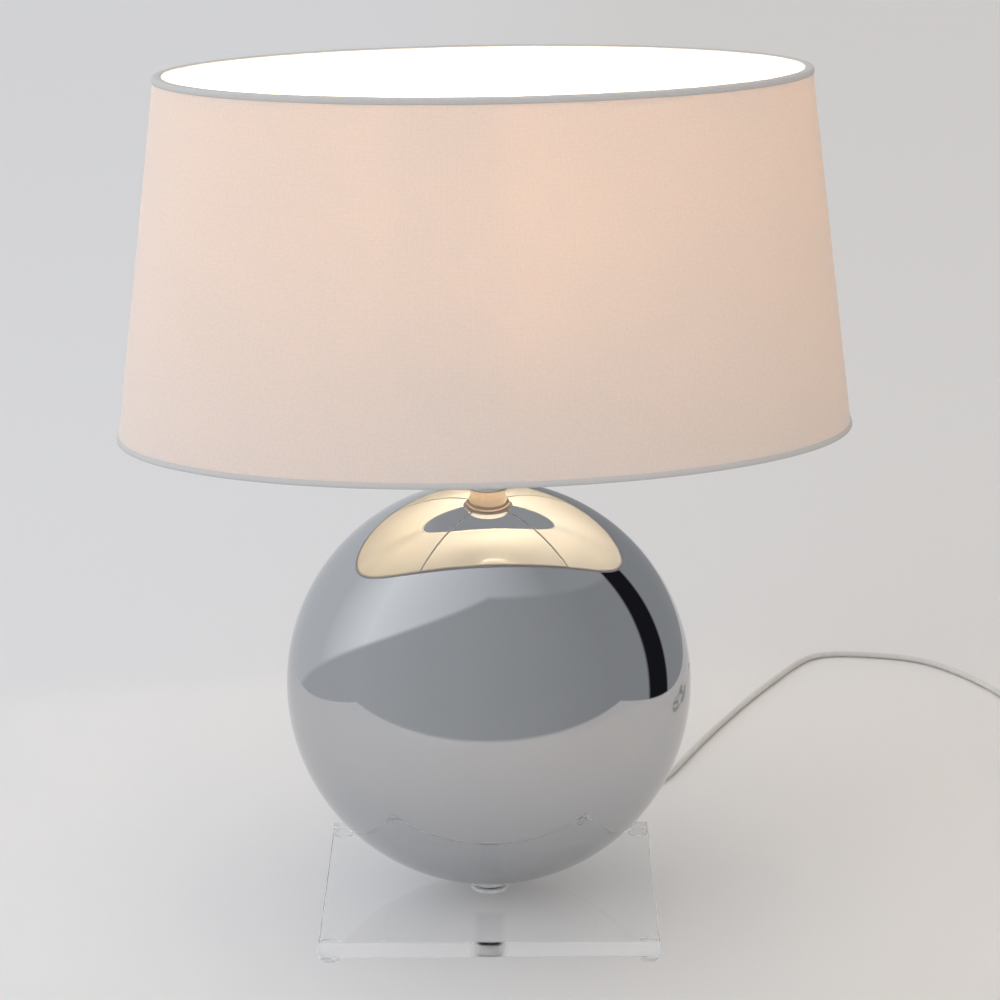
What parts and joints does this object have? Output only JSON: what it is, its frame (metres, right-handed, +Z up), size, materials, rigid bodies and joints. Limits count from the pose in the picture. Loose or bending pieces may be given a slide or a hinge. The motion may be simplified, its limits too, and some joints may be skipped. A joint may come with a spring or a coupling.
{
  "type": "glass globe table lamp",
  "caption": "Table lamp with a flattened mirrored glass globe on a clear plate, an oval fabric shade, a threaded lampholder and a corded inline switch.",
  "frame": {"origin": "on the surface that the lamp stands on, under the middle of the base plate and the globe", "axes": "+Z up along the centre tube, +X to the right seen from the front, +Y to the back, where the cord leaves"},
  "size_m": [0.7056, 0.5281, 0.5302],
  "materials": {
    "clear_acrylic": "polished clear acrylic",
    "clear_rubber": "soft clear",
    "mirrored_glass": "smoke glass, mirrored inside",
    "zinc_steel": "zinc plated",
    "polished_metal": "polished",
    "holder_brass": "spun, brushed and lacquered",
    "ceramic": "glazed white",
    "contact_brass": "plain",
    "bulb_aluminium": "rolled thread",
    "opal_glass": "opal white",
    "shade_fabric": "ivory fabric on a glossy white liner",
    "white_wire": "white powder coat",
    "cord_sheath": "soft translucent grey",
    "switch_plastic": "moulded",
    "pin_metal": "nickel plated"
  },
  "bodies": {
    "stand": {"base_plate": "clear_acrylic", "foot_front_left": "clear_rubber", "foot_front_right": "clear_rubber", "foot_back_left": "clear_rubber", "foot_back_right": "clear_rubber", "base_washer": "zinc_steel", "base_nut": "zinc_steel", "spacer_disc": "clear_acrylic", "seat_washer": "clear_rubber", "glass_globe": "mirrored_glass", "cord_grommet": "cord_sheath", "centre_tube": "zinc_steel", "inner_lead": "cord_sheath", "top_washer": "clear_rubber", "top_collar": "polished_metal", "holder_cap": "holder_brass", "holder_insert": "ceramic", "holder_shell": "holder_brass", "clamp_ring": "holder_brass", "screw_shell": "contact_brass", "centre_contact": "contact_brass", "terminal_screws": "zinc_steel", "mains_cord": "cord_sheath", "tail_cord": "cord_sheath", "cord_coil": "cord_sheath", "plug_cord": "cord_sheath", "switch_lower": "switch_plastic", "switch_upper": "switch_plastic", "plug_body": "switch_plastic", "plug_pins": "pin_metal"},
    "shade": {"shade_cover": "shade_fabric", "shade_top_wire": "white_wire", "shade_bottom_wire": "white_wire", "shade_top_band": "shade_fabric", "shade_bottom_band": "shade_fabric", "spider_ring": "white_wire", "spoke_front_left": "white_wire", "spoke_front_right": "white_wire", "spoke_back_left": "white_wire", "spoke_back_right": "white_wire"},
    "bulb": {"bulb_glass": "opal_glass", "bulb_cap": "bulb_aluminium", "bulb_contact": "contact_brass"},
    "rocker": {"switch_rocker": "switch_plastic"}
  },
  "joints": [
    {"name": "shade_swivel", "type": "hinge", "parent": "stand", "child": "shade", "pos_m": [0, 0, 0.3268], "axis": [0, 0, 1], "continuous": true},
    {"name": "bulb_lift", "type": "slide", "parent": "stand", "child": "bulb", "axis": [0, 0, 1], "range_m": [0, 0.25]},
    {"name": "switch_rock", "type": "hinge", "parent": "stand", "child": "rocker", "pos_m": [0.398, 0.216, 0.0122], "axis": [1, 0, 0], "range_deg": [0, 16]}
  ]
}
